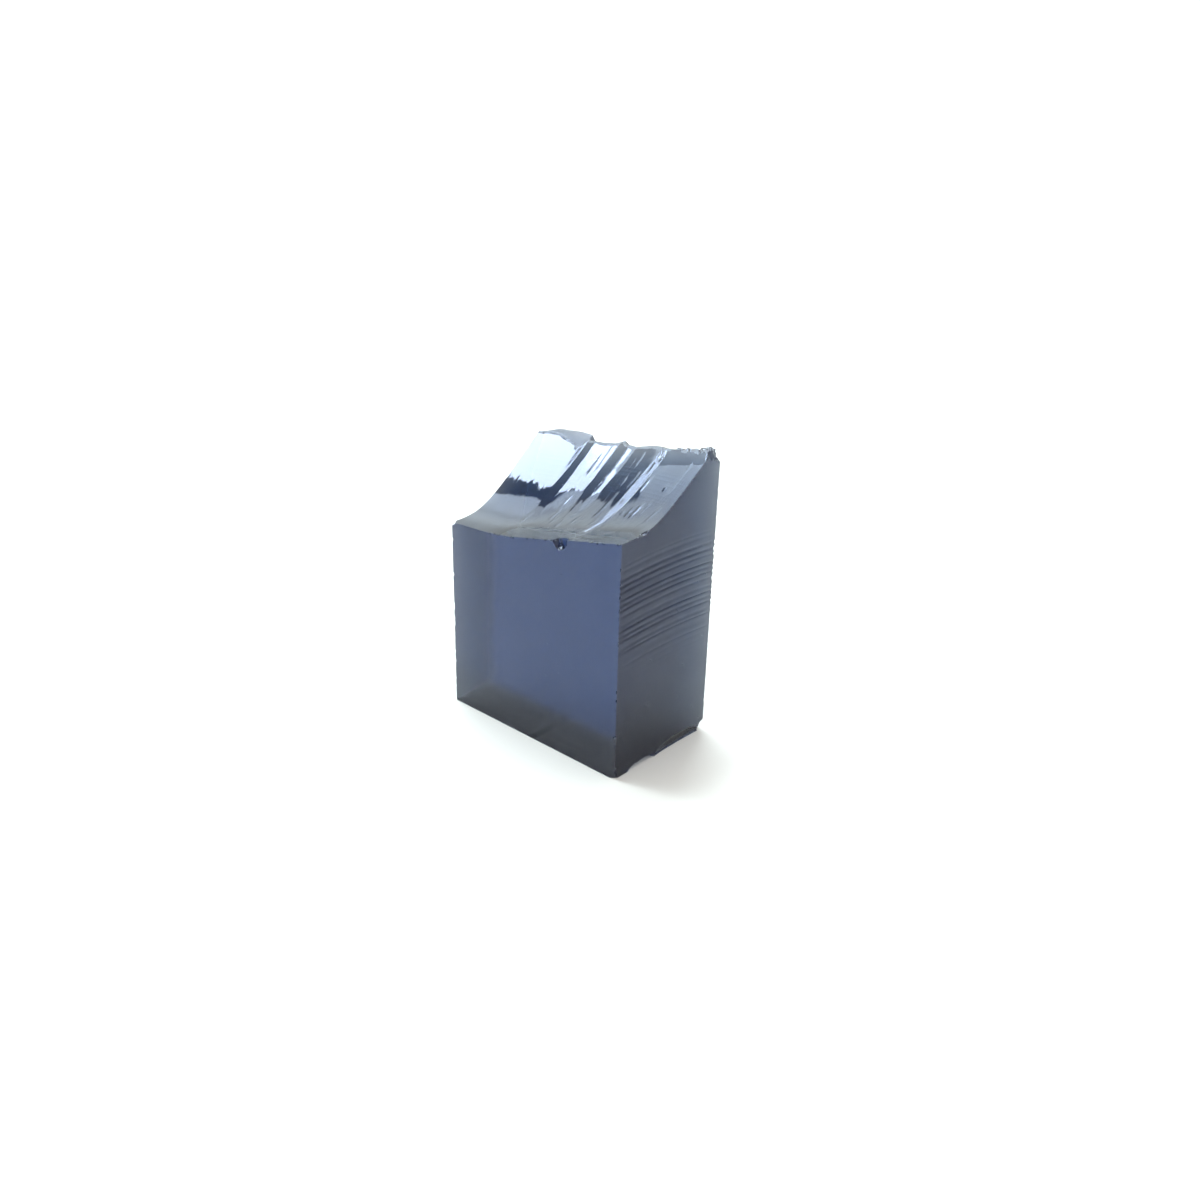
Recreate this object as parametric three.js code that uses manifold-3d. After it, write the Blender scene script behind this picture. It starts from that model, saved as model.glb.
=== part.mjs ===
// A block of rough alexandrite, standing on its sawn base. Four sides and the base are sawn
// flat. The top is a conchoidal fracture: a low lip along the front edge, then a scoop that
// climbs to a ragged crest along the back.
// Millimetres, +Z up. The wide front face looks along -Y and the saw-marked side along +X.
import * as THREE from 'three';
import { mergeVertices } from 'three/addons/utils/BufferGeometryUtils.js';
import Module from 'manifold-3d';

// Sawn block
const WIDTH = 15;
const DEPTH = 9.15;
const HEIGHT = 20;
const RIGHT = WIDTH / 2;
const FRONT = -DEPTH / 2;
const BACK = DEPTH / 2;

// Fracture lip, which climbs to the right, more so past its bend
const LIP_LEFT = 13.47;
const LIP_RISE = 0.065;
const LIP_BEND_X = -3;
const LIP_CLIMB = 0.158;
const LIP_BLEND = 0.5;

// Fracture scoop, a little steeper on the left than on the right
const SCOOP_START_Y = -1.75;
const SCOOP_BLEND = 0.72;
const SCOOP_SLOPE_LEFT = 0.815;
const SCOOP_SLOPE_RIGHT = 0.7;

// Brow: on the right the scoop steepens below the crest
const BROW_START_Y = 2.84;
const BROW_BLEND = 0.1;
const BROW_SLOPE = 0.175;

// Hackle strips, where the crack ran side by side: [x, height over the plain scoop]
const HACKLE_STRIPS = [
  [-7.5, 0.132],
  [-4.5, 0.06],
  [-3.3, 0],
  [-2.5, 0.06],
  [-0.6, -0.32],
  [0.5, -0.14],
  [1.25, -0.31],
  [3.4, 0.12],
  [7.5, 0],
];
// Where the strips begin to part: [x, y]
const HACKLE_START = [
  [-3.4, -3.8],
  [-2.4, -2.1],
];
const HACKLE_FADE = 3.1;

// Main hackle line, a step down to the right that the strips bend along: [y, x]
const RIDGE_PATH = [
  [-4.6, 2.85],
  [-2.3, 2.9],
  [-0.86, 3.24],
  [0.27, 3.46],
  [1.47, 3.63],
  [2.3, 3.73],
  [3.2, 3.76],
  [4.6, 3.7],
];
const RIDGE_REST_X = 3.6;
const RIDGE_WIDTH = 0.48;
const RIDGE_DROP = 0.235;
const RIDGE_START_Y = -4.5;
const RIDGE_FADE = 0.9;

// Crest: a rough ledge along the back, given along its front line and at the back face: [x, z]
const LEDGE_Y = 4.05;
const CREST_FRONT = [
  [-7.5, 18.05],
  [-6.5, 18.33],
  [-3.3, 18.3],
  [-2, 18.44],
  [-1, 18.64],
  [-0.4, 18.85],
  [0, 18.78],
  [1, 18.8],
  [1.7, 19.02],
  [2.8, 19.26],
  [3.7, 19.28],
  [5.4, 19.52],
  [6.8, 19.92],
  [7.2, 19.88],
  [7.5, 19.35],
];
const CREST_BACK = [
  [-7.5, 17.95],
  [-6.5, 18.32],
  [-4.5, 18.55],
  [-3.3, 18.55],
  [-3.05, 18.2],
  [-2, 18.25],
  [-1, 18.45],
  [-0.4, 18.8],
  [0, 18.62],
  [1, 18.62],
  [1.7, 18.85],
  [2.8, 19.1],
  [3.7, 19.12],
  [5.4, 19.42],
  [6.8, 19.92],
  [7.2, 19.85],
  [7.5, 19.2],
];
const CREST_ROUGHNESS = 0.03;
const CRUMBLE_X = 3.9;
const CRUMBLE_ROUGHNESS = 0.08;

// Saw marks: grooves cut by the rim of the blade as it was fed down the right-hand side
const SAW_RADIUS = 48;
const SAW_CENTRE_Y = 0.35;
const SAW_TOP_Z = 14.65;
const SAW_PITCH = 0.42;
const SAW_GROOVES = 17;
const SAW_FULL_GROOVES = 11;
const SAW_GROOVE_WIDTH = 0.16;
const SAW_GROOVE_DEPTH = 0.04;
const SAW_SEGMENTS = 8;

// Chips knocked out of the edges: centre and half sizes
const CHIPS = [
  { at: [2.45, FRONT, 15.08], half: [0.64, 0.45, 0.72], turn: 0.5 },
  { at: [4.9, FRONT, 15.68], half: [0.4, 0.3, 0.16], turn: 0.2 },
  { at: [RIGHT, -2.6, 16.28], half: [0.32, 0.4, 0.18], turn: 0.4 },
  { at: [RIGHT, BACK, 20], half: [0.42, 0.6, 0.8], turn: 0.3 },
  { at: [RIGHT, -1.9, 0], half: [0.3, 1.3, 0.38], turn: 0.1 },
  { at: [RIGHT, 2.0, 0.1], half: [0.1, 2.5, 0.72], turn: 0 },
  { at: [RIGHT, BACK, 0], half: [0.42, 0.6, 0.75], turn: 0.6 },
  { at: [RIGHT, FRONT, 0], half: [0.34, 0.36, 0.5], turn: 0.8 },
  { at: [-RIGHT, FRONT, 13.47], half: [0.3, 0.34, 0.2], turn: 0.5 },
  { at: [-RIGHT, BACK, 18.05], half: [0.5, 0.4, 0.3], turn: 0.2 },
];

// Crumbled stretch at the foot of the front right-hand edge
const CRUMB_COUNT = 8;
const CRUMB_FOOT_Z = 0.9;
const CRUMB_STEP_Z = 0.36;
const CRUMB_SIZE = 0.15;
const CRUMB_SCATTER = 0.09;

// Fineness of the fracture surface
const COLUMNS = 72;
const ROWS = 34;
const MARGIN = 1;

const wasm = await Module();
wasm.setup();

// A closed three.js geometry as a solid.
function toSolid(geometry) {
  geometry.deleteAttribute('normal');
  geometry.deleteAttribute('uv');
  const merged = mergeVertices(geometry, 1e-5);
  return new wasm.Manifold(
    new wasm.Mesh({
      numProp: 3,
      vertProperties: merged.getAttribute('position').array,
      triVerts: new Uint32Array(merged.index.array),
    }),
  );
}

// A solid as a three.js geometry.
function toGeometry(solid) {
  const mesh = solid.getMesh();
  const geometry = new THREE.BufferGeometry();
  geometry.setAttribute('position', new THREE.BufferAttribute(mesh.vertProperties, 3));
  geometry.setIndex(new THREE.BufferAttribute(mesh.triVerts, 1));
  geometry.computeVertexNormals();
  return geometry;
}

// Zero before the bend and a straight climb after it, rounded over the blend length.
function softRamp(distance, blend) {
  return blend * Math.log1p(Math.exp(distance / blend));
}

// A value read off a table, straight between its rows and level beyond its ends.
function readOff(table, place) {
  const next = table.findIndex(([at]) => at > place);
  if (next === 0) {
    return table[0][1];
  }
  if (next < 0) {
    return table[table.length - 1][1];
  }
  const [startAt, start] = table[next - 1];
  const [endAt, end] = table[next];
  return THREE.MathUtils.lerp(start, end, (place - startAt) / (endAt - startAt));
}

// The step at the main hackle line, which opens from the front and runs out at the right-hand side.
function ridgeDrop(x, y) {
  const beyond = x - readOff(RIDGE_PATH, y);
  const share = THREE.MathUtils.lerp(0.35, 1, THREE.MathUtils.smoothstep(y, RIDGE_START_Y, 0.5));
  const step = THREE.MathUtils.clamp(beyond / (RIDGE_WIDTH * share) + 0.5, 0, 1);
  const level = THREE.MathUtils.clamp(1 - beyond / (RIGHT - RIDGE_REST_X), 0, 1);
  const opened = THREE.MathUtils.smoothstep(y, RIDGE_START_Y, RIDGE_START_Y + RIDGE_FADE);
  return RIDGE_DROP * share * step * level * opened;
}

// Strips of the fracture, which follow the main hackle line less and less to the left.
function hackleHeight(x, y) {
  const follow = THREE.MathUtils.lerp(0.2, 1, THREE.MathUtils.smoothstep(x, -3, 3));
  const shift = follow * (readOff(RIDGE_PATH, y) - RIDGE_REST_X);
  const start = readOff(HACKLE_START, x);
  const opened = THREE.MathUtils.smoothstep(y, start, start + HACKLE_FADE);
  return readOff(HACKLE_STRIPS, x - shift) * opened - ridgeDrop(x, y);
}

// The smooth fracture, before it runs out at the crest.
function fractureHeight(x, y) {
  const share = (x + RIGHT) / WIDTH;
  const lip = LIP_LEFT + LIP_RISE * (x + RIGHT) + LIP_CLIMB * softRamp(x - LIP_BEND_X, LIP_BLEND);
  const slope = THREE.MathUtils.lerp(SCOOP_SLOPE_LEFT, SCOOP_SLOPE_RIGHT, share);
  const scoop = slope * softRamp(y - SCOOP_START_Y, SCOOP_BLEND);
  const beside = THREE.MathUtils.smoothstep(x, RIDGE_REST_X, RIDGE_REST_X + 0.3);
  const brow = BROW_SLOPE * beside * softRamp(y - BROW_START_Y, BROW_BLEND);
  return lip + scoop + brow + hackleHeight(x, y);
}

// The rough ledge along the back, crumbled to the right of the main hackle line.
function crestHeight(x, y) {
  const share = (y - LEDGE_Y) / (BACK - LEDGE_Y);
  const height = THREE.MathUtils.lerp(readOff(CREST_FRONT, x), readOff(CREST_BACK, x), share);
  const grain = Math.sin(5.1 * x + 2.3 * y) + Math.sin(8.7 * x - 4.9 * y);
  const roughness = x < CRUMBLE_X ? CREST_ROUGHNESS : CRUMBLE_ROUGHNESS;
  return Math.min(height + roughness * (grain - 0.5), HEIGHT);
}

// Everything above the broken top.
function brokenAway() {
  const cutter = new THREE.BoxGeometry(
    WIDTH + 2 * MARGIN,
    DEPTH + 2 * MARGIN,
    1,
    COLUMNS,
    ROWS,
    1,
  );
  const place = cutter.getAttribute('position');
  for (let i = 0; i < place.count; i += 1) {
    const x = place.getX(i);
    const y = place.getY(i);
    const broken = Math.min(fractureHeight(x, y), crestHeight(x, y));
    place.setZ(i, place.getZ(i) < 0 ? broken : HEIGHT + MARGIN);
  }
  return toSolid(cutter);
}

// One groove of the saw: an arc of the blade's rim, as deep as the blade bit in.
function sawGroove(index) {
  const centreZ = SAW_TOP_Z - index * SAW_PITCH - SAW_RADIUS;
  const spent = Math.max(0, index - SAW_FULL_GROOVES) / (SAW_GROOVES - SAW_FULL_GROOVES);
  const endY = THREE.MathUtils.lerp(BACK + MARGIN, FRONT + 2 * MARGIN, spent);
  const startAngle = Math.PI / 2 + Math.asin((SAW_CENTRE_Y - FRONT + MARGIN) / SAW_RADIUS);
  const endAngle = Math.PI / 2 - Math.asin((endY - SAW_CENTRE_Y) / SAW_RADIUS);
  const arc = new THREE.Shape();
  arc.absarc(SAW_CENTRE_Y, centreZ, SAW_RADIUS, startAngle, endAngle, true);
  arc.absarc(SAW_CENTRE_Y, centreZ, SAW_RADIUS - SAW_GROOVE_WIDTH, endAngle, startAngle, false);
  const groove = new THREE.ExtrudeGeometry(arc, {
    depth: SAW_GROOVE_DEPTH + MARGIN,
    bevelEnabled: false,
    curveSegments: SAW_SEGMENTS,
  });
  const outline = new THREE.Matrix4().makeBasis(
    new THREE.Vector3(0, 1, 0),
    new THREE.Vector3(0, 0, 1),
    new THREE.Vector3(1, 0, 0),
  );
  groove.applyMatrix4(outline);
  groove.translate(RIGHT - SAW_GROOVE_DEPTH, 0, 0);
  return toSolid(groove);
}

// A shell-shaped bite with flat facets.
function bite(at, half, turn) {
  const shell = new THREE.IcosahedronGeometry(1, 1);
  shell.rotateZ(turn);
  shell.rotateX(turn);
  shell.scale(...half);
  shell.translate(...at);
  return toSolid(shell);
}

function alexandriteBlock() {
  const blank = new THREE.BoxGeometry(WIDTH, DEPTH, HEIGHT + MARGIN / 2);
  blank.translate(0, 0, (HEIGHT + MARGIN / 2) / 2);
  let block = toSolid(blank).subtract(brokenAway());
  for (let index = 0; index < SAW_GROOVES; index += 1) {
    block = block.subtract(sawGroove(index));
  }
  for (const chip of CHIPS) {
    block = block.subtract(bite(chip.at, chip.half, chip.turn));
  }
  for (let index = 0; index < CRUMB_COUNT; index += 1) {
    const size = CRUMB_SIZE * (1 + 0.5 * Math.sin(2.4 * index));
    const stray = CRUMB_SCATTER * Math.sin(5.7 * index);
    const at = [RIGHT - stray, FRONT + stray, CRUMB_FOOT_Z + index * CRUMB_STEP_Z + stray];
    block = block.subtract(bite(at, [size, 1.4 * size, 1.8 * size], index));
  }
  const alexandrite = new THREE.MeshStandardMaterial({
    color: new THREE.Color('#4f5674'),
    roughness: 0.35,
    metalness: 0,
    flatShading: true,
  });
  const mesh = new THREE.Mesh(toGeometry(block), alexandrite);
  mesh.name = 'alexandrite_block';
  return mesh;
}

const part = new THREE.Group();
part.add(alexandriteBlock());

export default part;
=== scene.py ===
"""A sawn block of rough alexandrite: satin sawn sides and a glossy curved fracture on top.

The block is worked out in millimetres, in the frame's axes: the wide front face looks along -Y,
the saw-marked side along +X, and the fracture climbs from a low front lip to a crest at the back.
"""
import math

import bpy
import numpy as np
from mathutils import Matrix, Vector, noise
from mathutils.geometry import delaunay_2d_cdt


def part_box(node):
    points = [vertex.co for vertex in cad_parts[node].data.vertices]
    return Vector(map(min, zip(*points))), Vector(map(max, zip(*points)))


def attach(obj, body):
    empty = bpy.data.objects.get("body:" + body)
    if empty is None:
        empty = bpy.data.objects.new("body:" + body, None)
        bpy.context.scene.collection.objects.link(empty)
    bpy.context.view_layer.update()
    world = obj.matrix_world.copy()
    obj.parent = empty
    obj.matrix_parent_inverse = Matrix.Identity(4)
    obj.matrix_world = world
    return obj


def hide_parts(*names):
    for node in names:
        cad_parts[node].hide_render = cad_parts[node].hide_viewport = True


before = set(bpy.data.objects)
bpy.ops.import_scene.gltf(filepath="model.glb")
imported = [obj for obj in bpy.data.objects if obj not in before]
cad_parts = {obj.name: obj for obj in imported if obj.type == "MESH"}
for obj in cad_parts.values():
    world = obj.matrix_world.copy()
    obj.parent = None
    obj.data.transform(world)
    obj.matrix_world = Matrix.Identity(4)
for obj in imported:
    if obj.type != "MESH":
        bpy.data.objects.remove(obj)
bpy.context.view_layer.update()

MM = 0.001
STONE = "alexandrite_block"
PIECE = "alexandrite_stone"

# Sawn block, from the frame
low_corner, high_corner = (np.array(corner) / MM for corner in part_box(STONE))
LEFT, FRONT, BASE = low_corner
RIGHT, BACK, TOP = high_corner
WIDTH = RIGHT - LEFT

# Fracture lip, which climbs to the right, more so past its bend, and droops at its front edge
LIP_LEFT = 13.47
LIP_RISE = 0.065
LIP_BEND_X = -3.0
LIP_CLIMB = 0.158
LIP_BLEND = 0.5
LIP_DROOP = 0.03
LIP_DROOP_REACH = 0.22
LIP_DROOP_X = 0.5
LIP_DROOP_SPREAD = 3.5

# Fracture scoop, a little steeper on the left, and steeper again below the crest
SCOOP_START_Y = -1.75
SCOOP_BLEND = 0.72
SCOOP_SLOPE_LEFT = 0.815
SCOOP_SLOPE_RIGHT = 0.70
BROW_START_Y = 2.84
BROW_BLEND = 0.03
BROW_SLOPE = 0.175
BROW_EDGE = 0.3
LEFT_BROW_X = (-3.1, -3.5)
LEFT_BROW_START_Y = 0.6
LEFT_BROW_BLEND = 0.12
LEFT_BROW_SLOPE = 0.05

# Hackle strips of the fracture: height over the plain scoop at each strip's border
HACKLE_X = (-7.5, -4.5, -3.3, -2.5, -0.6, 0.35, 0.95, 3.4, 7.5)
HACKLE_Z = (0.132, 0.06, 0.0, 0.06, -0.32, -0.16, -0.285, 0.1, 0.0)
HACKLE_ROUNDING = 0.05
HACKLE_START_X = (-3.4, -2.4)
HACKLE_START_Y = (-3.8, -2.1)
HACKLE_FADE = 3.1

# Path of the main hackle line, which the others follow less and less to the left
RIDGE_Y = (-4.6, -2.3, -0.86, 0.27, 1.47, 2.3, 3.2, 4.6)
RIDGE_X = (2.85, 2.9, 3.24, 3.46, 3.63, 3.73, 3.76, 3.7)
RIDGE_REST_X = 3.6
RIDGE_WIDTH = 0.48
RIDGE_DROP = 0.235
RIDGE_START_Y = -4.5
RIDGE_FADE = 0.9
RIDGE_FULL_Y = 0.5
RIDGE_NARROWEST = 0.35
LEAST_FOLLOW = 0.2
FOLLOW_X = (-3.0, 3.0)

# Fine lances on the fracture: (x, first y, last y, height)
LANCES = (
    (4.85, -1.1, 0.15, 0.06),
    (5.3, -1.2, 0.3, 0.065),
    (4.3, -0.9, -0.2, 0.06),
    (5.9, 0.9, 1.6, 0.05),
    (4.1, 0.6, 2.2, 0.045),
    (2.2, 0.6, 1.9, 0.03),
    (2.6, -1.4, 0.2, 0.05),
    (0.35, 0.5, 2.0, 0.04),
    (1.6, 1.0, 3.4, 0.012),
    (2.05, 0.8, 3.7, 0.015),
    (-0.6, -2.2, -1.2, 0.04),
    (0.4, -2.6, -1.7, 0.05),
    (1.3, -2.3, -1.0, 0.045),
    (1.9, -3.3, -2.2, 0.045),
)
LANCE_WIDTH = 0.06
LANCE_TAPER = 0.5
LANCE_COUNT = 70
LANCE_LEFT = -3.5
LANCE_START_Y = (-2.6, 2.2)
LANCE_LENGTH = (0.4, 2.0)
LANCE_HEIGHT = 0.04
SWELL_HEIGHT = 0.009
SWELL_SCALE = 0.55
STREAK_HEIGHT = 0.002
STREAK_SCALE = (4.0, 0.3)

# Crest ledge along the back: (x, height at its front line, height at the back face)
LEDGE_Y = 4.05
CREST = np.array((
    (-7.5, 18.05, 17.95),
    (-6.5, 18.33, 18.32),
    (-5.6, 18.35, 18.42),
    (-4.5, 18.32, 18.55),
    (-3.7, 18.30, 18.58),
    (-3.3, 18.30, 18.55),
    (-3.05, 18.36, 18.20),
    (-2.0, 18.44, 18.25),
    (-1.0, 18.64, 18.45),
    (-0.4, 18.85, 18.80),
    (0.0, 18.78, 18.62),
    (1.0, 18.80, 18.62),
    (1.7, 19.02, 18.85),
    (2.8, 19.26, 19.10),
    (3.7, 19.28, 19.12),
    (4.7, 19.40, 19.28),
    (5.4, 19.52, 19.42),
    (6.2, 19.72, 19.66),
    (6.8, 19.92, 19.92),
    (7.2, 19.88, 19.85),
    (7.5, 19.35, 19.20),
))
CREST_BLEND = 0.03
CRUMBLE_X = 3.9
CRUMBLE_EDGE = 0.5
CRUMBLE_HEIGHT = 0.2
LEDGE_GRAIN = 0.02
LEDGE_GRAIN_SCALE = (2.0, 4.5)
DULL_LEDGE_X = -3.1

# Chips in the edges: centre, half sizes, way in
CHIPS = (
    ((2.45, FRONT, 15.08), (0.64, 0.45, 0.72), (0, 1, -0.6)),
    ((4.9, FRONT, 15.68), (0.4, 0.3, 0.16), (0, 1, -0.8)),
    ((RIGHT, -2.6, 16.28), (0.32, 0.4, 0.18), (-1, 0, -0.8)),
    ((RIGHT, BACK, 20.0), (0.42, 0.6, 0.8), (-1, -1, -0.6)),
    ((RIGHT, -1.9, 0.0), (0.3, 1.3, 0.38), (-1, 0, 1)),
    ((RIGHT, 2.0, 0.1), (0.1, 2.5, 0.72), (-1, 0, 0.1)),
    ((RIGHT, BACK, 0.0), (0.42, 0.6, 0.75), (-1, -1, 0.7)),
    ((RIGHT, FRONT, 0.0), (0.34, 0.36, 0.5), (-1, 1, 0.7)),
    ((LEFT, FRONT, 13.47), (0.3, 0.34, 0.2), (1, 1, -0.7)),
    ((LEFT, BACK, 18.05), (0.5, 0.4, 0.3), (1, -1, -0.7)),
)
CHIP_RIPPLE = 0.12
CHIP_RIPPLE_SCALE = (2.5, 5.0)
CRUMB_COUNT = 15
CRUMB_SPAN = (0.3, 3.2)
CRUMB_SIZE = (0.04, 0.12)
CRUMB_STRAY = 0.12
CRUMB_REACH = 0.35
BITE_TILT = 0.3
NICK_COUNT = 110
NICK_SIZE = (0.025, 0.08)
UPRIGHT_NICKS = 0.55
LIP_NICKS = 0.7
NICK_MARGIN = 0.3
GRAIN_SHARE = 0.36
GRAIN_DEPTH = 0.55
PITTED = ("front", "right")
PIT_COUNT = 18
PIT_SIZE = (0.02, 0.05)
PIT_MARGIN = 0.5
PIT_HEIGHTS = (0.6, 13.0)
PIT_RINGS = (0.0, 0.7, 1.0, 1.5)

# Scratches across the saw-marked side: (y, z) points
SCRATCHES = (
    ((-4.5, 3.5), (-3.36, 3.7), (-2.64, 4.13), (-1.83, 4.36), (-1.44, 4.09)),
    ((-4.5, 2.95), (-3.63, 3.31), (-2.1, 3.7)),
    ((-4.4, 3.95), (-3.16, 4.12)),
)
SCRATCH_WIDTH = 0.09
SCRATCH_DEPTH = 0.03
SCRATCH_PATCH = (-3.0, 3.6, 1.7, 0.95)

# Saw marks of each side: blade radius, blade centre across, first mark, pitch, depth, fade length, seed
SAW_MARKS = {
    "right": (48.0, 0.35, 14.75, 0.42, 0.065, 8.6, 3),
    "left": (48.0, -0.6, 12.0, 0.45, 0.014, 11.5, 5),
    "back": (52.0, 1.5, 16.5, 0.48, 0.014, 16.0, 8),
}

# Spacing of the mesh
EDGE_STEP = 0.06
RIM_STEPS = (0.045, 0.12)
TOP_STEP = (0.06, 0.12)
SIDE_STEP = 0.2
MARKED_STEP = {"right": 0.045, "back": 0.06, "left": 0.06}
BASE_STEP = 0.6
CHIP_STEP = 0.055
PATCH_MARGIN = 0.1
CRUMB_MARGIN = 0.25
MARK_MARGIN = 0.4
TOP_RIMS = (0.05, 0.1)
TOP_MARGIN = 0.03
TOP_CHIPS_Z = 10.0

SHARP_ANGLE = math.radians(32)
rng = np.random.default_rng(11)


def soft_ramp(distance, blend):
    """Zero before the bend and a straight climb after it, rounded over the blend length."""
    return blend * np.logaddexp(0.0, distance / blend)


def smooth_step(value, start, end):
    share = np.clip((value - start) / (end - start), 0.0, 1.0)
    return share * share * (3.0 - 2.0 * share)


def grain(x, y, scale_x, scale_y, octaves=3):
    """Fractal noise, about -1 to 1, that is drawn out where a scale is small."""
    flat_x, flat_y = np.ravel(x) * scale_x, np.ravel(y) * scale_y
    values = [noise.fractal(Vector((a, b, 3.7)), 1.0, 2.0, octaves) for a, b in zip(flat_x, flat_y)]
    return np.reshape(values, np.shape(x))


def random_lances():
    """More lances, scattered over the fracture, in the same form as the placed ones."""
    x = rng.uniform(LANCE_LEFT, RIGHT, LANCE_COUNT)
    start = rng.uniform(*LANCE_START_Y, LANCE_COUNT)
    length = rng.uniform(*LANCE_LENGTH, LANCE_COUNT)
    height = LANCE_HEIGHT * rng.random(LANCE_COUNT) ** 3
    return list(zip(x, start, start + length, height))


ALL_LANCES = list(LANCES) + random_lances()


def ridge_shift(x, y):
    """How far the hackle lines stray from straight at a place."""
    follow = LEAST_FOLLOW + (1.0 - LEAST_FOLLOW) * smooth_step(x, *FOLLOW_X)
    return follow * (np.interp(y, RIDGE_Y, RIDGE_X) - RIDGE_REST_X)


def ridge_drop(x, y):
    """The main hackle line, a bright step down to the right that runs out at the sawn side."""
    beyond = x - np.interp(y, RIDGE_Y, RIDGE_X)
    share = RIDGE_NARROWEST + (1.0 - RIDGE_NARROWEST) * smooth_step(y, RIDGE_START_Y, RIDGE_FULL_Y)
    step = np.clip(beyond / (RIDGE_WIDTH * share) + 0.5, 0.0, 1.0)
    level = np.clip(1.0 - beyond / (RIGHT - RIDGE_REST_X), 0.0, 1.0)
    opened = smooth_step(y, RIDGE_START_Y, RIDGE_START_Y + RIDGE_FADE)
    return RIDGE_DROP * share * step * level * opened


def hackle_height(x, y):
    """Strips of the fracture that tilt apart, and the fine lances between their borders."""
    start = np.interp(x, HACKLE_START_X, HACKLE_START_Y)
    opened = smooth_step(y, start, start + HACKLE_FADE)
    shift = ridge_shift(x, y)
    spread = np.linspace(-1.0, 1.0, 7) * HACKLE_ROUNDING
    strips = np.mean([np.interp(x - shift + offset, HACKLE_X, HACKLE_Z) for offset in spread], axis=0)
    lances = np.zeros_like(x)
    for lance_x, first, last, height in ALL_LANCES:
        across = (x - shift - lance_x) / (LANCE_WIDTH + height)
        along = smooth_step(y, first, first + LANCE_TAPER)
        along = along * smooth_step(y, last, last - LANCE_TAPER)
        lances = lances + height * along * np.exp(-across * across)
    return strips * opened + lances - ridge_drop(x, y)


def fracture_height(x, y):
    share = (x - LEFT) / WIDTH
    lip = LIP_LEFT + LIP_RISE * (x - LEFT) + LIP_CLIMB * soft_ramp(x - LIP_BEND_X, LIP_BLEND)
    droop = LIP_DROOP * np.exp(-(y - FRONT) / LIP_DROOP_REACH)
    droop = droop * np.exp(-(((x - LIP_DROOP_X) / LIP_DROOP_SPREAD) ** 2))
    slope = SCOOP_SLOPE_LEFT + (SCOOP_SLOPE_RIGHT - SCOOP_SLOPE_LEFT) * share
    scoop = slope * soft_ramp(y - SCOOP_START_Y, SCOOP_BLEND)
    beside = smooth_step(x, RIDGE_REST_X, RIDGE_REST_X + BROW_EDGE)
    brow = BROW_SLOPE * beside * soft_ramp(y - BROW_START_Y, BROW_BLEND)
    left_part = smooth_step(x, *LEFT_BROW_X)
    brow = brow + LEFT_BROW_SLOPE * left_part * soft_ramp(y - LEFT_BROW_START_Y, LEFT_BROW_BLEND)
    swells = SWELL_HEIGHT * grain(x, y, SWELL_SCALE, SWELL_SCALE, 2)
    streaks = STREAK_HEIGHT * grain(x, y, *STREAK_SCALE)
    return lip - droop + scoop + brow + hackle_height(x, y) + (swells + streaks)


def crest_height(x, y):
    """The ledge behind the fracture: a dull strip on the left, and a crumbled edge on the right."""
    front = np.interp(x, CREST[:, 0], CREST[:, 1])
    back = np.interp(x, CREST[:, 0], CREST[:, 2])
    share = (y - LEDGE_Y) / (BACK - LEDGE_Y)
    crumbled = smooth_step(x, CRUMBLE_X, CRUMBLE_X + CRUMBLE_EDGE)
    rough = LEDGE_GRAIN + (CRUMBLE_HEIGHT - LEDGE_GRAIN) * crumbled
    return front + (back - front) * share + rough * grain(x, y, *LEDGE_GRAIN_SCALE, 4)


def top_height(x, y):
    x, y = np.broadcast_arrays(np.asarray(x, float), np.asarray(y, float))
    fracture, crest = fracture_height(x, y), crest_height(x, y)
    return np.minimum(crest - soft_ramp(crest - fracture, CREST_BLEND), TOP)


def spaced(start, end, step):
    """Inner division points of a stretch, its ends left out."""
    count = max(2, int(round(abs(end - start) / step)))
    return np.linspace(start, end, count + 1)[1:-1]


def small_bites():
    """Crumbs at the foot of the front right edge, and nicks along the upright and top edges."""
    bites = []
    for _ in range(CRUMB_COUNT):
        size = rng.uniform(*CRUMB_SIZE)
        z = rng.uniform(*CRUMB_SPAN)
        stray = rng.uniform(-CRUMB_STRAY, CRUMB_STRAY)
        centre = (RIGHT - max(stray, 0), FRONT + max(-stray, 0), z)
        way = (-1, 1, rng.uniform(-BITE_TILT, BITE_TILT))
        bites.append((centre, (size, 0.9 * size, 1.5 * size), way))
    edges = ((RIGHT, FRONT), (LEFT, FRONT), (RIGHT, BACK), (LEFT, BACK))
    for _ in range(NICK_COUNT):
        size = rng.uniform(*NICK_SIZE)
        if rng.random() < UPRIGHT_NICKS:
            x, y = edges[rng.integers(len(edges))]
            z = rng.uniform(NICK_MARGIN, float(top_height(x, y)) - NICK_MARGIN)
            way = (-np.sign(x), -np.sign(y), rng.uniform(-BITE_TILT, BITE_TILT))
        elif rng.random() < LIP_NICKS:
            x, y = rng.uniform(LEFT, RIGHT), FRONT
            z, way = float(top_height(x, y)), (0, 1, -0.8)
        else:
            x, y = RIGHT, rng.uniform(FRONT, BACK)
            z, way = float(top_height(x, y)), (-1, 0, -0.8)
        bites.append(((x, y, z), (size, size, 1.4 * size), way))
    return bites


def unit(way):
    return np.array(way, float) / np.linalg.norm(way)


def press_bite(points, centre, half, way_in):
    """Moves what lies inside an ellipsoid to its inner wall. Returns which points moved."""
    way = unit(way_in)
    q = (points - np.array(centre)) / np.array(half)
    d = way / np.array(half)
    a, b, c = d @ d, q @ d, np.einsum("ij,ij->i", q, q) - 1.0
    inside = c < 0.0
    reach = (-b + np.sqrt(np.maximum(b * b - a * c, 0.0))) / a
    points[inside] += reach[inside, None] * way
    return inside


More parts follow.
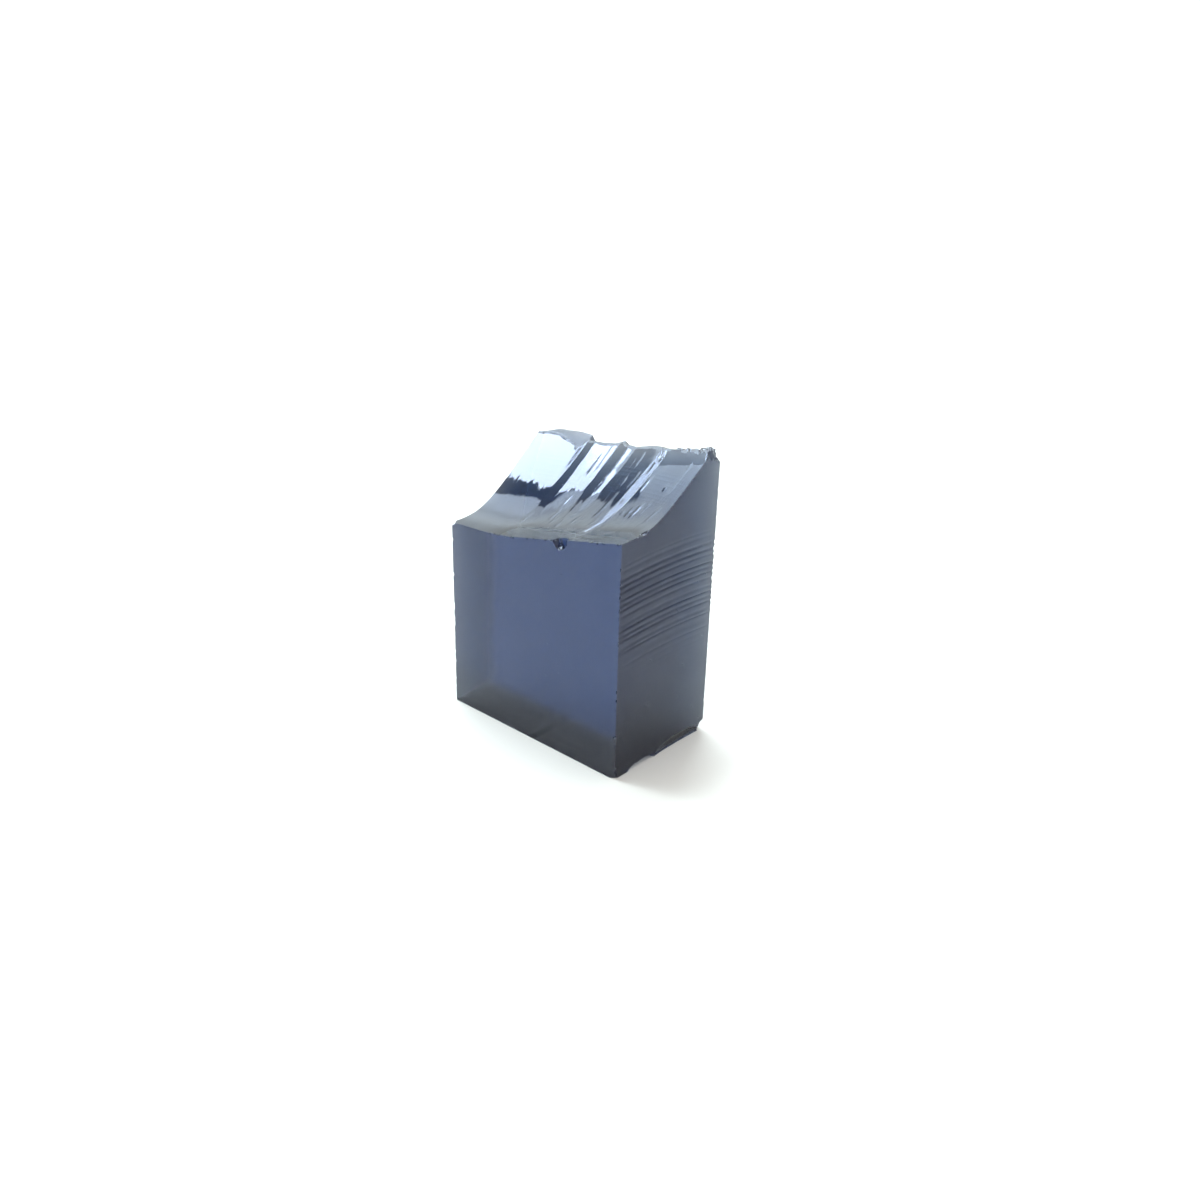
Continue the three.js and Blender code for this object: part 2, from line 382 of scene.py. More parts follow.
class Side:
    """A sawn side: its two corners, and the plane its points lie in."""

    def __init__(self, name, first, last, axis, value, inward):
        self.name, self.first, self.last = name, first, last
        self.axis, self.value, self.inward = axis, value, np.array(inward, float)
        self.turn = 1.0 if name in ("front", "right") else -1.0

    def flat(self, point):
        return self.turn * point[1 - self.axis], point[2]

    def place(self, across, up):
        columns = [across, up]
        columns.insert(self.axis, np.full_like(across, self.value))
        return np.column_stack(columns)

    def top(self, across):
        if self.axis == 1:
            return top_height(across, self.value)
        return top_height(self.value, across)


SIDES = (
    Side("front", "fl", "fr", 1, FRONT, (0, 1, 0)),
    Side("right", "fr", "br", 0, RIGHT, (-1, 0, 0)),
    Side("back", "br", "bl", 1, BACK, (0, -1, 0)),
    Side("left", "bl", "fl", 0, LEFT, (1, 0, 0)),
)
CORNERS = {"fl": (LEFT, FRONT), "fr": (RIGHT, FRONT), "br": (RIGHT, BACK), "bl": (LEFT, BACK)}
FACES = ("front", "right", "back", "left", "top", "base")


class Skin:
    """The block's vertices, and its triangles face by face."""

    def __init__(self):
        self.points = np.zeros((0, 3))
        self.triangles = []
        self.faces = []

    def add(self, points):
        start = len(self.points)
        self.points = np.vstack([self.points, points])
        return list(range(start, start + len(points)))

    def fill(self, face, loop, inside, flat):
        """Triangles within a closed loop of vertices, through more points inside it."""
        members = list(loop) + self.add(inside)
        places = [Vector(flat(self.points[i])) for i in members]
        border = [(i, (i + 1) % len(loop)) for i in range(len(loop))]
        result = delaunay_2d_cdt(places, border, [], 1, 1e-7)
        spots, triangles, origins = result[0], result[2], result[3]
        for triangle in triangles:
            a, b, c = (spots[i] for i in triangle)
            corners = [members[origins[i][0]] for i in triangle]
            if (b - a).cross(c - a) < 0:
                corners.reverse()
            self.triangles.append(corners)
            self.faces.append(FACES.index(face))


def patch(centre_u, centre_v, half_u, half_v, step):
    u, v = np.meshgrid(
        np.arange(centre_u - half_u, centre_u + half_u, step),
        np.arange(centre_v - half_v, centre_v + half_v, step),
    )
    return u.ravel(), v.ravel()


def thin_out(u, v, patches):
    """Leaves out the points of a coarse grid that finer patches cover."""
    keep = np.ones(len(u), bool)
    for centre_u, centre_v, half_u, half_v in patches:
        keep &= (abs(u - centre_u) > half_u) | (abs(v - centre_v) > half_v)
    return u[keep], v[keep]


def side_points(side, pits):
    """Points on a side: an even grid, rims along its edges, and finer patches at its damage."""
    span = (LEFT, RIGHT) if side.axis == 1 else (FRONT, BACK)
    rows = spaced(BASE, TOP, SIDE_STEP)
    columns = spaced(*span, SIDE_STEP)
    arc = np.zeros(len(columns))
    if side.name in SAW_MARKS:
        radius, centre, first, _, _, fade, _ = SAW_MARKS[side.name]
        marked = np.arange(first - fade, first + MARK_MARGIN, MARKED_STEP[side.name])
        rows = np.concatenate([rows[(rows < marked[0]) | (rows > marked[-1])], marked])
        arc = radius - np.sqrt(radius**2 - (columns - centre) ** 2)
    v = (rows[:, None] - arc).ravel()
    u = np.broadcast_to(columns, (len(rows), len(columns))).ravel()
    patches = []
    for centre, half, _ in CHIPS:
        if abs(centre[side.axis] - side.value) < half[side.axis]:
            reach = half[1 - side.axis] + PATCH_MARGIN
            patches.append((centre[1 - side.axis], centre[2], reach, half[2] + PATCH_MARGIN))
    if side.name in ("front", "right"):
        foot = RIGHT if side.name == "front" else FRONT
        middle = (CRUMB_SPAN[0] + CRUMB_SPAN[1]) / 2
        patches.append((foot, middle, CRUMB_REACH, CRUMB_SPAN[1] - middle + CRUMB_MARGIN))
    if side.name == "right":
        patches.append(SCRATCH_PATCH)
    u, v = thin_out(u, v, patches)
    grids = [(u, v)] + [patch(*p, CHIP_STEP) for p in patches]
    for pit_u, pit_v, size in pits:
        angle = np.arange(6) * math.pi / 3
        for ring in PIT_RINGS:
            grids.append((pit_u + ring * size * np.cos(angle), pit_v + ring * size * np.sin(angle)))
    for rim in RIM_STEPS:
        up = np.arange(rim, TOP, EDGE_STEP)
        across = spaced(*span, EDGE_STEP)
        grids.append((np.full_like(up, span[0] + rim), up))
        grids.append((np.full_like(up, span[1] - rim), up))
        grids.append((across, np.full_like(across, BASE + rim)))
        grids.append((across, side.top(across) - rim))
    u = np.concatenate([g[0] for g in grids])
    v = np.concatenate([g[1] for g in grids])
    inner = 0.6 * RIM_STEPS[0]
    keep = (u > span[0] + inner) & (u < span[1] - inner) & (v > BASE + inner)
    u, v = u[keep], v[keep]
    keep = v < side.top(u) - inner
    return np.unique(np.round(side.place(u[keep], v[keep]), 4), axis=0)


def plan_grid(step_x, step_y):
    """Inner points of an even grid over the block's plan."""
    x, y = np.meshgrid(spaced(LEFT, RIGHT, step_x), spaced(FRONT, BACK, step_y))
    return x.ravel(), y.ravel()


def top_points():
    """Points on the broken top: an even grid, rims along its edges, and finer patches at its chips."""
    x, y = plan_grid(*TOP_STEP)
    patches = []
    for centre, half, _ in CHIPS:
        if centre[2] > TOP_CHIPS_Z:
            patches.append((centre[0], centre[1], half[0] + PATCH_MARGIN, half[1] + PATCH_MARGIN))
    x, y = thin_out(x, y, patches)
    grids = [(x, y)] + [patch(*p, CHIP_STEP) for p in patches]
    across = spaced(LEFT, RIGHT, EDGE_STEP)
    along = spaced(FRONT, BACK, EDGE_STEP)
    for rim in TOP_RIMS:
        grids.append((across, np.full_like(across, FRONT + rim)))
        grids.append((across, np.full_like(across, BACK - rim)))
        grids.append((np.full_like(along, LEFT + rim), along))
        grids.append((np.full_like(along, RIGHT - rim), along))
    x = np.concatenate([g[0] for g in grids])
    y = np.concatenate([g[1] for g in grids])
    inner = TOP_MARGIN
    keep = (x > LEFT + inner) & (x < RIGHT - inner) & (y > FRONT + inner) & (y < BACK - inner)
    spots = np.unique(np.round(np.column_stack([x[keep], y[keep]]), 4), axis=0)
    return np.column_stack([spots, top_height(spots[:, 0], spots[:, 1])])


def scatter_pits(side):
    span = (LEFT, RIGHT) if side.axis == 1 else (FRONT, BACK)
    u = rng.uniform(span[0] + PIT_MARGIN, span[1] - PIT_MARGIN, PIT_COUNT)
    v = rng.uniform(*PIT_HEIGHTS, PIT_COUNT)
    return list(zip(u, v, rng.uniform(*PIT_SIZE, PIT_COUNT)))


def sawn_skin():
    """The closed skin of the block, before its saw marks. Returns it with its damaged points."""
    skin = Skin()
    posts, edges = {}, {}
    for name, (x, y) in CORNERS.items():
        posts[name] = skin.add([[x, y, BASE], [x, y, float(top_height(x, y))]])
        z = spaced(BASE, skin.points[posts[name][1]][2], EDGE_STEP)
        edges[name] = skin.add(np.column_stack([np.full_like(z, x), np.full_like(z, y), z]))
    for side in SIDES:
        a, b = np.array(CORNERS[side.first]), np.array(CORNERS[side.last])
        share = spaced(0.0, 1.0, EDGE_STEP / np.linalg.norm(b - a))
        spots = a + share[:, None] * (b - a)
        heights = top_height(spots[:, 0], spots[:, 1])
        edges["foot", side.name] = skin.add(np.column_stack([spots, np.full_like(share, BASE)]))
        edges["head", side.name] = skin.add(np.column_stack([spots, heights]))
    bites = list(CHIPS) + small_bites()
    for side in SIDES:
        pits = scatter_pits(side) if side.name in PITTED else []
        for u, v, size in pits:
            bites.append((side.place(np.array([u]), np.array([v]))[0], (size,) * 3, side.inward))
        loop = [posts[side.first][0]] + edges["foot", side.name] + [posts[side.last][0]]
        loop += edges[side.last] + [posts[side.last][1]] + edges["head", side.name][::-1]
        loop += [posts[side.first][1]] + edges[side.first][::-1]
        skin.fill(side.name, loop, side_points(side, pits), side.flat)
    head, foot = [], []
    for side in SIDES:
        head += [posts[side.first][1]] + edges["head", side.name]
        foot += [posts[side.first][0]] + edges["foot", side.name]
    skin.fill("top", head, top_points(), lambda p: (p[0], p[1]))
    x, y = plan_grid(BASE_STEP, BASE_STEP)
    bottom = np.column_stack([x, y, np.full_like(x, BASE)])
    skin.fill("base", foot[::-1], bottom, lambda p: (p[0], -p[1]))
    chipped = np.zeros(len(skin.points), bool)
    for centre, half, way_in in bites:
        chipped |= press_bite(skin.points, centre, half, way_in)
    ripple_chips(skin.points)
    press_scratches(skin.points)
    np.clip(skin.points, low_corner, high_corner, out=skin.points)
    return skin, chipped, [grain_spot(*bite) for bite in bites[len(CHIPS):]]


def grain_spot(centre, half, way_in):
    """Place and radius of the crushed grain that a small bite leaves, within the block's box."""
    radius = GRAIN_SHARE * min(half)
    place = np.array(centre) + GRAIN_DEPTH * min(half) * unit(way_in)
    return np.clip(place, low_corner + radius, high_corner - radius), radius


def ripple_chips(points):
    """Steps in the walls of the larger chips."""
    for centre, half, way_in in CHIPS:
        q = (points - np.array(centre)) / np.array(half)
        wall = np.flatnonzero(abs(np.linalg.norm(q, axis=1) - 1.0) < 0.02)
        inner = wall[(q[wall] @ np.array(way_in, float)) > 0.05]
        spots = points[inner]
        x, y, z = spots.T
        lift = CHIP_RIPPLE * min(half) * grain(x + y, z - y, *CHIP_RIPPLE_SCALE)
        points[inner] += lift[:, None] * np.array(way_in, float)


def press_scratches(points):
    on_side = np.flatnonzero(abs(points[:, 0] - RIGHT) < 1e-6)
    spots = points[on_side][:, 1:]
    depth = np.zeros(len(spots))
    for path in SCRATCHES:
        for start, end in zip(path, path[1:]):
            a, b = np.array(start), np.array(end)
            share = np.clip((spots - a) @ (b - a) / ((b - a) @ (b - a)), 0.0, 1.0)
            away = np.linalg.norm(spots - a - share[:, None] * (b - a), axis=1)
            depth = np.maximum(depth, SCRATCH_DEPTH * np.exp(-((away / SCRATCH_WIDTH) ** 2)))
    points[on_side, 0] -= depth


def store(mesh, name, domain, values):
    attribute = mesh.attributes.new(name, "FLOAT", domain)
    attribute.data.foreach_set("value", np.asarray(values, np.float32))


def stone_mesh():
    """The stone as a mesh that knows its broken, ledge and sawn parts. Returns it with its bruises."""
    skin, chipped, bruises = sawn_skin()
    mesh = bpy.data.meshes.new(PIECE)
    mesh.from_pydata((skin.points * MM).tolist(), [], skin.triangles)
    mesh.update()
    triangles, faces = np.array(skin.triangles), np.array(skin.faces)
    middles = skin.points[triangles].mean(axis=1)
    on_top = faces == FACES.index("top")
    behind = crest_height(middles[:, 0], middles[:, 1]) < fracture_height(middles[:, 0], middles[:, 1])
    crest = on_top & behind & (middles[:, 0] < DULL_LEDGE_X)
    broken = (on_top | chipped[triangles].all(axis=1)) & ~crest
    store(mesh, "broken", "FACE", broken)
    store(mesh, "crest", "FACE", crest)
    for side in SIDES:
        members = np.zeros(len(skin.points))
        members[np.unique(triangles[faces == FACES.index(side.name)])] = 1.0
        store(mesh, "on " + side.name, "POINT", members)
    return mesh, bruises


# Saw marks: drift of their spacing, walls of a groove in shares of the pitch, and how they vary
DRIFT = 1.6
DRIFT_SCALE = 0.45
GROOVE_WALL = (0.30, 0.05)
WEAKEST_MARK = 0.4
MOST_WORN = 0.6
WEAR_SCALE = 260.0
MARKS_BEGIN = (-0.0004, 0.0006)
FULL_SHARE = 0.35

SAW_INPUTS = (
    ("Blade Radius", "NodeSocketFloat"),
    ("Blade Centre", "NodeSocketFloat"),
    ("First Mark", "NodeSocketFloat"),
    ("Pitch", "NodeSocketFloat"),
    ("Depth", "NodeSocketFloat"),
    ("Fade Length", "NodeSocketFloat"),
    ("Seed", "NodeSocketFloat"),
    ("Side", "NodeSocketString"),
    ("Across", "NodeSocketVector"),
    ("Inward", "NodeSocketVector"),
)


class Tree:
    """Short calls for building a node tree."""

    def __init__(self, tree):
        self.nodes, self.links = tree.nodes, tree.links

    def node(self, kind, inputs=(), **settings):
        node = self.nodes.new(kind)
        for key, value in settings.items():
            setattr(node, key, value)
        for key, value in dict(inputs).items():
            if isinstance(value, bpy.types.NodeSocket):
                self.links.new(value, node.inputs[key])
            else:
                node.inputs[key].default_value = value
        return node

    def math(self, operation, *values):
        return self.node("ShaderNodeMath", enumerate(values), operation=operation).outputs[0]

    def product(self, *values):
        result = values[0]
        for value in values[1:]:
            result = self.math("MULTIPLY", result, value)
        return result

    def attribute(self, name):
        """A stored attribute of a mesh, in a geometry tree."""
        node = self.node("GeometryNodeInputNamedAttribute", {"Name": name}, data_type="FLOAT")
        return node.outputs["Attribute"]

    def ramp(self, value, start, end, low=0.0, high=1.0):
        node = self.node("ShaderNodeMapRange", {"Value": value}, interpolation_type="SMOOTHSTEP")
        for key, amount in (("From Min", start), ("From Max", end), ("To Min", low), ("To Max", high)):
            if isinstance(amount, bpy.types.NodeSocket):
                self.links.new(amount, node.inputs[key])
            else:
                node.inputs[key].default_value = amount
        return node.outputs["Result"]


def saw_mark_tree(material):
    """Grooves of the blade's rim, pressed into one side: arcs a pitch apart, each of its own depth."""
    tree = bpy.data.node_groups.new("saw marks", "GeometryNodeTree")
    tree.interface.new_socket("Geometry", in_out="INPUT", socket_type="NodeSocketGeometry")
    for name, kind in SAW_INPUTS:
        tree.interface.new_socket(name, in_out="INPUT", socket_type=kind)
    tree.interface.new_socket("Geometry", in_out="OUTPUT", socket_type="NodeSocketGeometry")
    t = Tree(tree)
    given = t.node("NodeGroupInput").outputs
    place = t.node("GeometryNodeInputPosition").outputs[0]
    height = t.node("ShaderNodeSeparateXYZ", {0: place}).outputs["Z"]
    dot = t.node("ShaderNodeVectorMath", {0: place, 1: given["Across"]}, operation="DOT_PRODUCT")
    across = dot.outputs["Value"]
    offset = t.math("SUBTRACT", across, given["Blade Centre"])
    radius = given["Blade Radius"]
    square = t.math("SUBTRACT", t.product(radius, radius), t.product(offset, offset))
    chord = t.math("SQRT", square)
    apex = t.math("ADD", height, t.math("SUBTRACT", radius, chord))
    below = t.math("SUBTRACT", given["First Mark"], apex)
    count = t.math("DIVIDE", below, given["Pitch"])
    along = {"W": t.math("ADD", count, given["Seed"]), "Scale": DRIFT_SCALE, "Detail": 1.0}
    drift = t.node("ShaderNodeTexNoise", along, noise_dimensions="1D").outputs[0]
    phase = t.math("ADD", count, t.math("MULTIPLY", drift, DRIFT))
    number = t.math("FLOOR", phase)
    near = t.math("ABSOLUTE", t.math("SUBTRACT", t.math("FRACT", phase), 0.5))
    groove = t.ramp(near, *GROOVE_WALL)
    dice = {"W": t.math("ADD", number, given["Seed"])}
    chance = t.node("ShaderNodeTexWhiteNoise", dice, noise_dimensions="1D").outputs["Value"]
    strength = t.ramp(chance, 0.0, 1.0, WEAKEST_MARK, 1.0)
    spot = {0: t.math("MULTIPLY", across, WEAR_SCALE), 1: number, 2: given["Seed"]}
    where = t.node("ShaderNodeCombineXYZ", spot).outputs[0]
    patchy = t.node("ShaderNodeTexNoise", {"Vector": where, "Scale": 1.0, "Detail": 1.0}).outputs[0]
    worn = t.ramp(patchy, 0.25, 0.55, MOST_WORN, 1.0)
    started = t.ramp(below, *MARKS_BEGIN)
    faded = t.ramp(below, given["Fade Length"], t.math("MULTIPLY", given["Fade Length"], FULL_SHARE))
    member = t.attribute(given["Side"])
    depth = t.product(groove, strength, worn, started, faded, given["Depth"], member)
    push = t.node("ShaderNodeVectorMath", {0: given["Inward"], "Scale": depth}, operation="SCALE")
    shift = {"Geometry": given["Geometry"], "Offset": push.outputs[0]}
    moved = t.node("GeometryNodeSetPosition", shift).outputs[0]
    real = t.node("GeometryNodeRealizeInstances", {"Geometry": moved}).outputs[0]
    coated = t.node("GeometryNodeSetMaterial", {"Geometry": real, "Material": material}).outputs[0]
    t.node("NodeGroupOutput", {"Geometry": coated})
    return tree


def saw(obj, material):
    """Cuts every side's saw marks into the stone and leaves it a plain mesh."""
    tree = saw_mark_tree(material)
    keys = {item.name: item.identifier for item in tree.interface.items_tree if item.in_out == "INPUT"}
    for side in SIDES:
        if side.name not in SAW_MARKS:
            continue
        modifier = obj.modifiers.new("saw marks " + side.name, "NODES")
        modifier.node_group = tree
        radius, centre, first, pitch, depth, fade, seed = SAW_MARKS[side.name]
        across = (1.0, 0.0, 0.0) if side.axis == 1 else (0.0, 1.0, 0.0)
        lengths = (radius, centre, first, pitch, depth, fade)
        values = [length * MM for length in lengths]
        values += [float(seed), "on " + side.name, across, tuple(side.inward)]
        for (name, _), value in zip(SAW_INPUTS, values):
            modifier[keys[name]] = value
    cut = bpy.data.meshes.new_from_object(obj.evaluated_get(bpy.context.evaluated_depsgraph_get()))
    obj.modifiers.clear()
    rough, obj.data = obj.data, cut
    bpy.data.meshes.remove(rough)
    cut.name = PIECE
    cut.polygons.foreach_set("use_smooth", np.ones(len(cut.polygons), bool))
    cut.set_sharp_from_angle(angle=SHARP_ANGLE)


# Crushed stone
FLECK_SCALE = 9000.0
DARK_FLECK = (0.3, 0.36, 0.43, 1.0)
PALE_FLECK = (0.8, 0.84, 0.87, 1.0)
GRAIN_SEED = 4

GRAIN_INPUTS = (("Seed", "NodeSocketInt"), ("Size", "NodeSocketString"))
BRUISES = "bruised_grains"


def grain_tree(material):
    """Small grains of crushed stone, one on every given point, turned at random."""
    tree = bpy.data.node_groups.new("crushed grains", "GeometryNodeTree")
    tree.interface.new_socket("Geometry", in_out="INPUT", socket_type="NodeSocketGeometry")
    for name, kind in GRAIN_INPUTS:
        tree.interface.new_socket(name, in_out="INPUT", socket_type=kind)
    tree.interface.new_socket("Geometry", in_out="OUTPUT", socket_type="NodeSocketGeometry")
    t = Tree(tree)
    given = t.node("NodeGroupInput").outputs
    ball = t.node("GeometryNodeMeshIcoSphere", {"Radius": 1.0, "Subdivisions": 1}).outputs["Mesh"]
    angles = {"Min": (-3.0,) * 3, "Max": (3.0,) * 3, "Seed": given["Seed"]}
    turn = t.node("FunctionNodeRandomValue", angles, data_type="FLOAT_VECTOR").outputs[0]
    grains = {"Points": given["Geometry"], "Instance": ball, "Rotation": turn}
    grains["Scale"] = t.attribute(given["Size"])
    placed = t.node("GeometryNodeInstanceOnPoints", grains)
    real = t.node("GeometryNodeRealizeInstances", {"Geometry": placed.outputs[0]}).outputs[0]
    coated = t.node("GeometryNodeSetMaterial", {"Geometry": real, "Material": material}).outputs[0]
    t.node("NodeGroupOutput", {"Geometry": coated})
    return tree


def bruised():
    """Crushed stone: pale, dull and grainy."""
    material = bpy.data.materials.new("bruised alexandrite")
    material.use_nodes = True
    t = Tree(material.node_tree)
    shader = t.nodes["Principled BSDF"]
    place = t.node("ShaderNodeTexCoord").outputs["Object"]
    fleck = t.node("ShaderNodeTexNoise", {"Vector": place, "Scale": FLECK_SCALE, "Detail": 2.0}).outputs[0]
    shades = {"Factor": fleck, "A": DARK_FLECK, "B": PALE_FLECK}
    colour = t.node("ShaderNodeMix", shades, data_type="RGBA")
    t.links.new(colour.outputs["Result"], shader.inputs["Base Color"])
    t.links.new(t.ramp(fleck, 0.3, 0.7, 0.35, 0.7), shader.inputs["Roughness"])
    return material


def add_bruises(spots):
    """Grains in the pits and crumbs of the stone. Each spot is a place and a radius."""
    mesh = bpy.data.meshes.new(BRUISES)
    mesh.from_pydata([tuple(np.array(place) * MM) for place, _ in spots], [], [])
    store(mesh, "size", "POINT", [size * MM for _, size in spots])
    grains = bpy.data.objects.new(BRUISES, mesh)
    bpy.context.collection.objects.link(grains)
    tree = grain_tree(bruised())
    modifier = grains.modifiers.new("crushed grains", "NODES")
    modifier.node_group = tree
    keys = {item.name: item.identifier for item in tree.interface.items_tree if item.in_out == "INPUT"}
    modifier[keys["Seed"]] = GRAIN_SEED
    modifier[keys["Size"]] = "size"
    solid = bpy.data.meshes.new_from_object(grains.evaluated_get(bpy.context.evaluated_depsgraph_get()))
    grains.modifiers.clear()
    grains.data = solid
    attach(grains, "root")


# Alexandrite: clear, blue-violet by depth
REFRACTION = 1.75
BODY_COLOUR = (0.9, 0.92, 1.0, 1.0)
FRONT_ROUGHNESS = 0.27
SIDE_ROUGHNESS = (0.45, 0.51)
CLOUD_SCALE = 420.0
SAW_LINE_SCALE = (140.0, 140.0, 2600.0)
SAW_LINE_HEIGHT = 4e-6
BROKEN_ROUGHNESS = 0.03
LEDGE_ROUGHNESS = 0.42
ABSORPTION_COLOUR = (0.10, 0.30, 0.55, 1.0)
ABSORPTION_DENSITY = 480.0
REFLECTION_TINT = (0.54, 0.59, 0.77, 1.0)


def alexandrite():
    """Clear stone: satin where it is sawn, glossy where it is broken, dull on the left ledge."""
    material = bpy.data.materials.new("alexandrite")
    material.use_nodes = True
    t = Tree(material.node_tree)
    shader = t.nodes["Principled BSDF"]
    shader.inputs["Base Color"].default_value = BODY_COLOUR
    shader.inputs["Transmission Weight"].default_value = 1.0
    shader.inputs["IOR"].default_value = REFRACTION
    shader.inputs["Specular Tint"].default_value = REFLECTION_TINT
    broken = t.node("ShaderNodeAttribute", attribute_name="broken").outputs["Fac"]
    crest = t.node("ShaderNodeAttribute", attribute_name="crest").outputs["Fac"]
    place = t.node("ShaderNodeTexCoord").outputs["Object"]
    cloud = t.node("ShaderNodeTexNoise", {"Vector": place, "Scale": CLOUD_SCALE, "Detail": 3.0}).outputs[0]
    front = t.node("ShaderNodeAttribute", attribute_name="on front").outputs["Fac"]
    satin = t.ramp(cloud, 0.3, 0.7, *SIDE_ROUGHNESS)
    sawn = t.ramp(front, 0.0, 1.0, satin, FRONT_ROUGHNESS)
    finish = t.ramp(broken, 0.0, 1.0, sawn, BROKEN_ROUGHNESS)
    rough = t.ramp(crest, 0.0, 1.0, finish, LEDGE_ROUGHNESS)
    t.links.new(rough, shader.inputs["Roughness"])
    drawn = t.node("ShaderNodeMapping", {"Vector": place, "Scale": SAW_LINE_SCALE}).outputs[0]
    lines = t.node("ShaderNodeTexNoise", {"Vector": drawn, "Scale": 1.0, "Detail": 2.0}).outputs[0]
    fine = t.product(lines, front, t.ramp(broken, 0.0, 1.0, 1.0, 0.0))
    bump = t.node("ShaderNodeBump", {"Strength": 1.0, "Distance": SAW_LINE_HEIGHT, "Height": fine})
    t.links.new(bump.outputs[0], shader.inputs["Normal"])
    depth = t.node("ShaderNodeVolumeAbsorption")
    depth.inputs["Color"].default_value = ABSORPTION_COLOUR
    depth.inputs["Density"].default_value = ABSORPTION_DENSITY
    t.links.new(depth.outputs["Volume"], t.nodes["Material Output"].inputs["Volume"])
    return material


# Camera: place in millimetres, angles in degrees, lens in millimetres on a square frame
CAMERA_PLACE = (49.903, -54.035, 41.693)
CAMERA_AZIMUTH = 41.653
CAMERA_ELEVATION = 24.113
CAMERA_ROLL = 1.548
CAMERA_LENS = 36.0


def add_camera():
    azimuth, elevation, roll = (math.radians(a) for a in (CAMERA_AZIMUTH, CAMERA_ELEVATION, CAMERA_ROLL))
    away = Vector((
        math.sin(azimuth) * math.cos(elevation),
        -math.cos(azimuth) * math.cos(elevation),
        math.sin(elevation),
    ))
    level = Vector((math.cos(azimuth), math.sin(azimuth), 0.0))
    upright = away.cross(level)
    right = math.cos(roll) * level + math.sin(roll) * upright
    up = -math.sin(roll) * level + math.cos(roll) * upright
    camera = bpy.data.objects.new("camera", bpy.data.cameras.new("camera"))
    camera.data.lens = CAMERA_LENS
    camera.data.sensor_width = CAMERA_LENS
    camera.data.clip_start = MM
    turn = Matrix((right, up, away)).transposed().to_4x4()
    camera.matrix_world = Matrix.Translation(Vector(CAMERA_PLACE) * MM) @ turn
    bpy.context.collection.objects.link(camera)
    bpy.context.scene.camera = camera


# Floor
FLOOR_HALF = 3.0
FLOOR_ROUGHNESS = 0.9
FLOOR_COLOUR = (0.81, 0.81, 0.80, 1.0)


def add_floor():
    h = FLOOR_HALF
    mesh = bpy.data.meshes.new("floor")
    mesh.from_pydata([(-h, -h, 0), (h, -h, 0), (h, h, 0), (-h, h, 0)], [], [(0, 1, 2, 3)])
    floor = bpy.data.objects.new("floor", mesh)
    bpy.context.collection.objects.link(floor)
    material = bpy.data.materials.new("pale floor")
    material.use_nodes = True
    shader = material.node_tree.nodes["Principled BSDF"]
    shader.inputs["Base Color"].default_value = FLOOR_COLOUR
    shader.inputs["Roughness"].default_value = FLOOR_ROUGHNESS
    mesh.materials.append(material)


# Studio light by direction: a lit panel and a pale wall on the left, a strip lamp overhead, warm fill
PANEL_STRENGTH = 14.5
LAMP_STRENGTH = 12.0
WALL_STRENGTH = 2.85
WALL_TOP_STRENGTH = 2.05
FILL_STRENGTH = 1.1
SHADE_STRENGTH = 0.28
FRONT_STRENGTH = 1.1
HORIZON_STRENGTH = 0.9
COOL = (0.88, 1.0, 1.02, 1.0)
WARM = (1.0, 0.985, 0.93, 1.0)


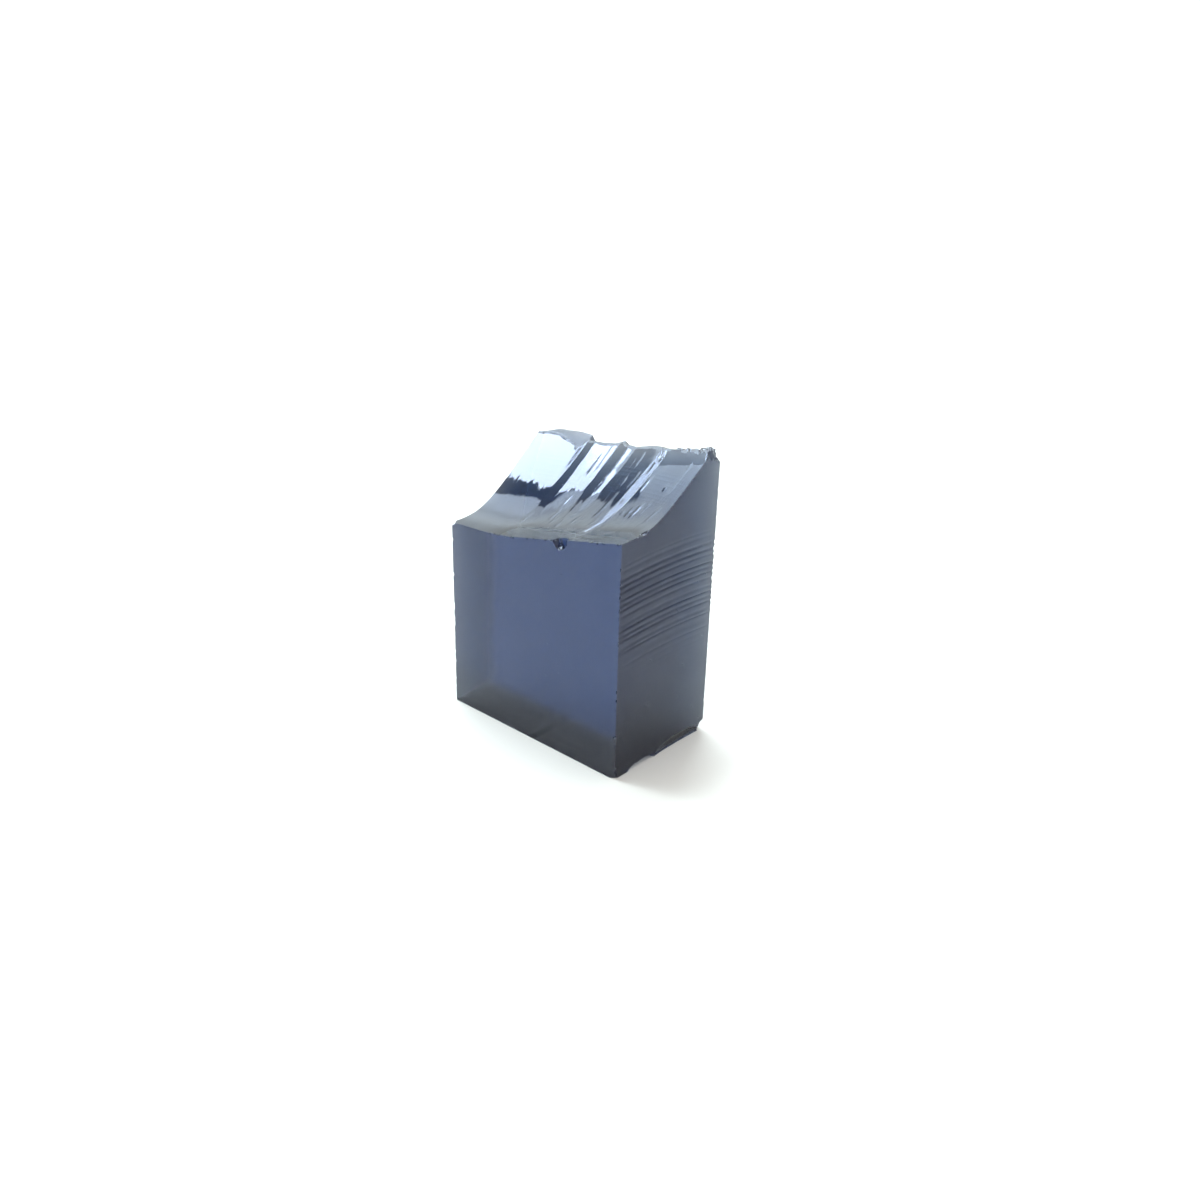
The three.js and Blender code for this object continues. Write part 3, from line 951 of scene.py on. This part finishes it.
def add_light():
    """A dome of light. Each ramp below fades one border of a lit part, by direction."""
    world = bpy.data.worlds.new("studio")
    world.use_nodes = True
    bpy.context.scene.world = world
    t = Tree(world.node_tree)
    direction = t.node("ShaderNodeTexCoord").outputs["Generated"]
    split = t.node("ShaderNodeSeparateXYZ", {0: direction}).outputs
    x, y, z = split["X"], split["Y"], split["Z"]
    left = t.ramp(x, -0.25, -0.5)
    slant = t.math("ADD", y, t.math("SUBTRACT", z, 0.69))
    border = t.math("SUBTRACT", y, t.math("MULTIPLY", t.math("SUBTRACT", z, 0.72), 0.6))

    panel = t.product(
        left,
        t.ramp(border, -0.128, -0.145),
        t.ramp(y, -0.3, -0.26),
        t.ramp(z, 0.56, 0.6),
        t.ramp(z, 0.9, 0.86),
    )
    lamp = t.product(
        t.ramp(x, -0.35, -0.32),
        t.ramp(x, -0.2, -0.23),
        t.ramp(y, -0.32, -0.28),
        t.ramp(y, 0.68, 0.62),
        t.ramp(z, 0.5, 0.6),
    )
    seen_wall = t.product(left, t.ramp(slant, -0.05, -0.03), t.ramp(y, 0.95, 0.7))
    wall = t.math("MULTIPLY", t.ramp(z, 0.12, 0.55), WALL_STRENGTH)
    wall = t.math("ADD", wall, t.math("MULTIPLY", t.ramp(z, 0.6, 0.7), WALL_TOP_STRENGTH))
    horizon = t.product(t.ramp(z, 0.35, 0.02), t.ramp(y, -0.2, 0.1), t.ramp(x, 0.2, -0.1))
    cool = t.math("ADD", t.math("MULTIPLY", panel, PANEL_STRENGTH), t.math("MULTIPLY", seen_wall, wall))
    cool = t.math("ADD", cool, t.math("MULTIPLY", horizon, HORIZON_STRENGTH))
    cool = t.math("ADD", cool, t.math("MULTIPLY", lamp, LAMP_STRENGTH))
    low = t.ramp(y, 0.35, -0.1, SHADE_STRENGTH, FRONT_STRENGTH)
    overhead = t.ramp(z, 0.1, 0.6, low, FILL_STRENGTH)
    warm = t.ramp(left, 0.0, 1.0, overhead, SHADE_STRENGTH)
    key = t.nodes["Background"]
    key.inputs["Color"].default_value = COOL
    t.links.new(cool, key.inputs["Strength"])
    fill = t.node("ShaderNodeBackground", {"Color": WARM, "Strength": warm})
    both = t.node("ShaderNodeAddShader", {0: key.outputs[0], 1: fill.outputs[0]})
    t.links.new(both.outputs[0], t.nodes["World Output"].inputs["Surface"])


def add_stone():
    mesh, bruises = stone_mesh()
    stone = bpy.data.objects.new(PIECE, mesh)
    bpy.context.collection.objects.link(stone)
    saw(stone, alexandrite())
    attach(stone, "root")
    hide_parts(STONE)
    add_bruises(bruises)


add_camera()
add_floor()
add_light()
add_stone()
bpy.context.scene.view_settings.view_transform = "Standard"
